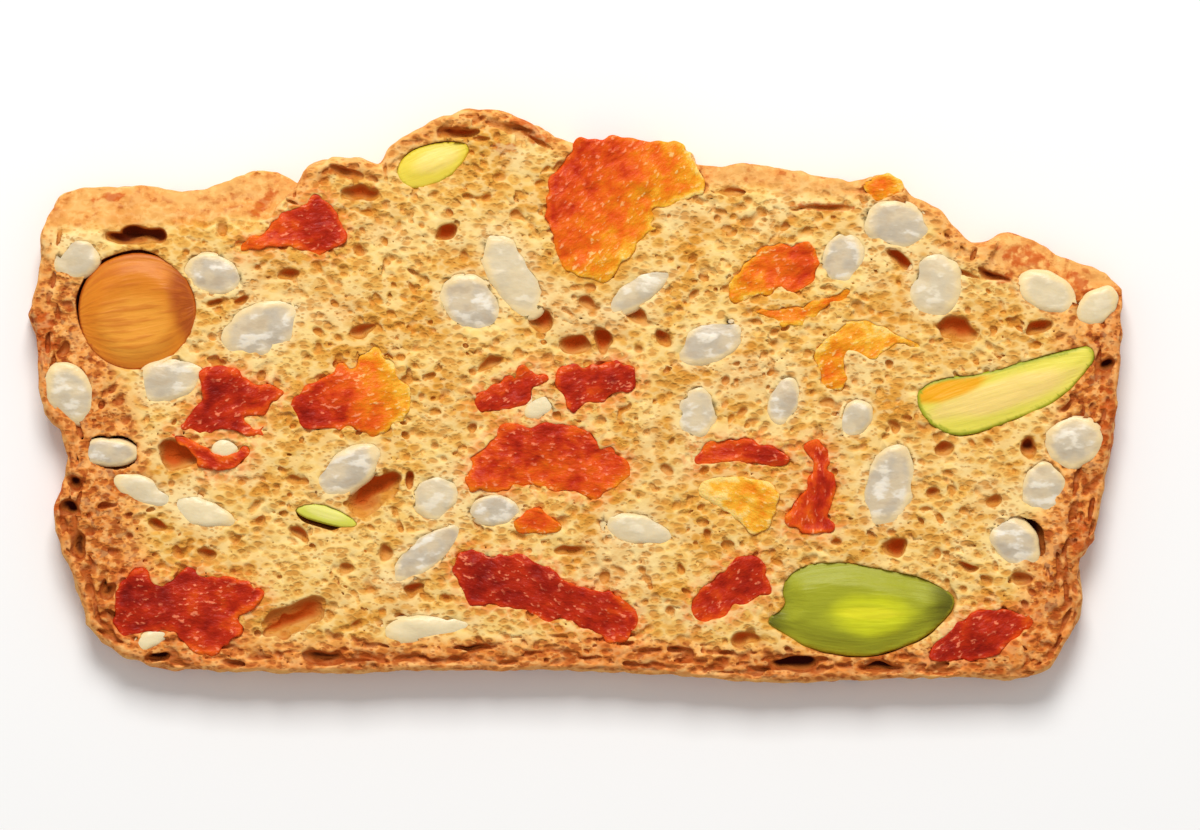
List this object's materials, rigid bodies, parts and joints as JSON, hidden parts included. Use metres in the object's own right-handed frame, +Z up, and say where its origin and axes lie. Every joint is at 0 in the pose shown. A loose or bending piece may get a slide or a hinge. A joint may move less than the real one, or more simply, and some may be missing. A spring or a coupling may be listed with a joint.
{
  "type": "fruit and nut crisp",
  "caption": "Thin baked slice of a fruit and nut loaf with a risen crust, open crumb, candied fruit, pistachio and hazelnut pieces and pale seeds, lying flat to be picked up.",
  "frame": {"origin": "under the middle of the slice's bounding box, on the surface it lies on", "axes": "+X along the slice from left to right as shown, +Y from the base crust to the risen top crust, +Z up out of the shown cut face"},
  "size_m": [0.1094, 0.0574, 0.005],
  "materials": {
    "crumb": "dry, porous baked crumb",
    "red_fruit": "moist, glossy candied fruit",
    "amber_fruit": "moist, glossy candied fruit",
    "hazelnut": "satin toasted nut",
    "pistachio": "satin kernel",
    "seed": "satin hulled seed"
  },
  "bodies": {
    "root": {"crumb": "crumb", "fruit_lower_left": "red_fruit", "fruit_middle_left": "red_fruit", "fruit_ring_left": "red_fruit", "fruit_upper_left": "red_fruit", "fruit_centre_upper": "red_fruit", "fruit_centre_side": "red_fruit", "fruit_centre": "red_fruit", "fruit_base_centre": "red_fruit", "fruit_base_right": "red_fruit", "fruit_band": "red_fruit", "fruit_fold": "red_fruit", "fruit_corner": "red_fruit", "fruit_inner_left": "amber_fruit", "fruit_top": "amber_fruit", "fruit_right_of_top": "amber_fruit", "fruit_sliver": "amber_fruit", "fruit_right": "amber_fruit", "fruit_speck": "amber_fruit", "fruit_patch": "amber_fruit", "fruit_nub": "amber_fruit", "hazelnut": "hazelnut", "pistachio_base": "pistachio", "pistachio_right": "pistachio", "pistachio_top": "pistachio", "pistachio_chip": "pistachio"}
  },
  "joints": []
}
